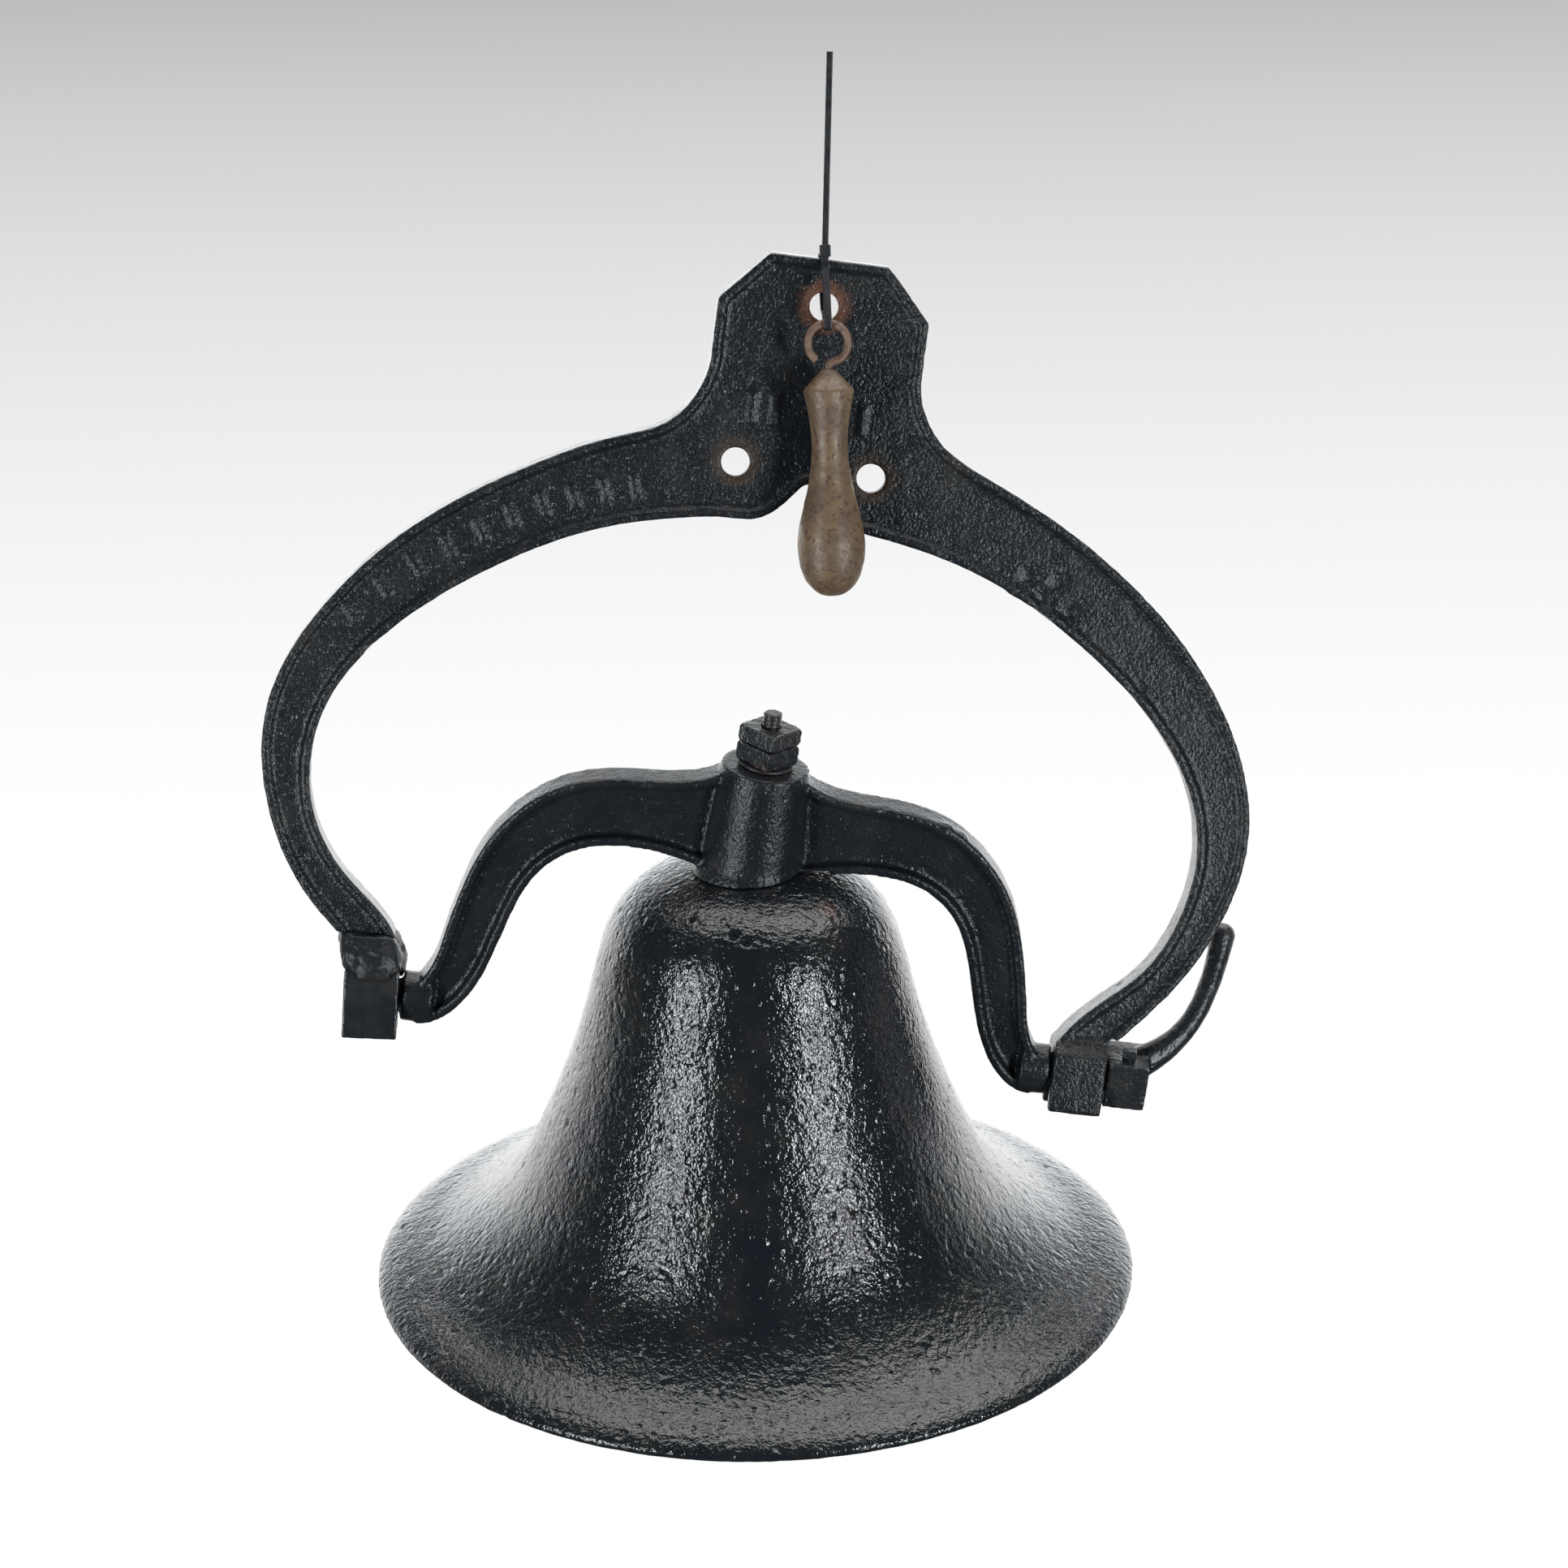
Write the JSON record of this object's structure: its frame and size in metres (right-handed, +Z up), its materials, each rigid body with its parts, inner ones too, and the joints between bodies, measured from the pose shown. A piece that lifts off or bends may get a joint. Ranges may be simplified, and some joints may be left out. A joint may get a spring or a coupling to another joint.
{
  "type": "yard dinner bell",
  "caption": "Cast-iron yard dinner bell under a curved yoke, swinging in a harp-shaped post bracket, with crank lever and a clapper tied to the bracket's plate.",
  "frame": {"origin": "centre of the bracket's lower post hole on the crank side, in the middle of the web's thickness", "axes": "+Z up with the bell plumb, +X along the level of the trunnions towards the crank, -Y towards the front of the bracket"},
  "size_m": [0.4848, 0.381, 0.5996],
  "materials": {
    "bracket_black": "black paint, semi-gloss over rough casting",
    "block_black": "black paint, semi-gloss over a sawn block",
    "weld_black": "black paint over a lumpy weld, a little rust",
    "yoke_black": "black paint, glossy over rough casting",
    "bell_black": "black paint, glossy over a pitted casting",
    "bolt_black": "black paint over worn thread",
    "washer_rust": "painted black with a rusty edge",
    "nut_black": "black paint, semi-gloss",
    "lever_black": "black paint, semi-gloss",
    "screw_black": "black paint, semi-gloss",
    "clapper_brown": "bare iron with an even tan-brown rust",
    "hook_brown": "bare wrought iron, dark brown rust",
    "tie_nylon": "satin black nylon"
  },
  "bodies": {
    "bracket": {"hanger_bracket": "bracket_black", "repair_bearing": "block_black", "weld_bead": "weld_black"},
    "swinging_bell": {"yoke": "yoke_black", "bell": "bell_black", "clapper_bolt": "bolt_black", "bevel_washer": "washer_rust", "boss_washer": "washer_rust", "lower_nut": "nut_black", "jam_nut": "nut_black", "crank_lever": "lever_black", "crank_screw": "screw_black"},
    "tie": {"cable_tie": "tie_nylon"},
    "clapper": {"clapper_body": "clapper_brown", "clapper_hook": "hook_brown"}
  },
  "joints": [
    {"name": "bell_swing", "type": "hinge", "parent": "bracket", "child": "swinging_bell", "pos_m": [-0.07422, -0.0696, -0.26494], "axis": [0.9895, 0, -0.1444], "range_deg": [-130, 140]},
    {"name": "tie_swivel", "type": "hinge", "parent": "bracket", "child": "tie", "pos_m": [-0.02174, 0.02063, 0.08097], "axis": [0.0374, -0.9659, 0.2561], "range_deg": [-18, 5]},
    {"name": "clapper_swing", "type": "hinge", "parent": "tie", "child": "clapper", "pos_m": [-0.0205, -0.00099, 0.07969], "axis": [-0.9993, -0.0374, 0.0049], "range_deg": [0, 70]}
  ]
}
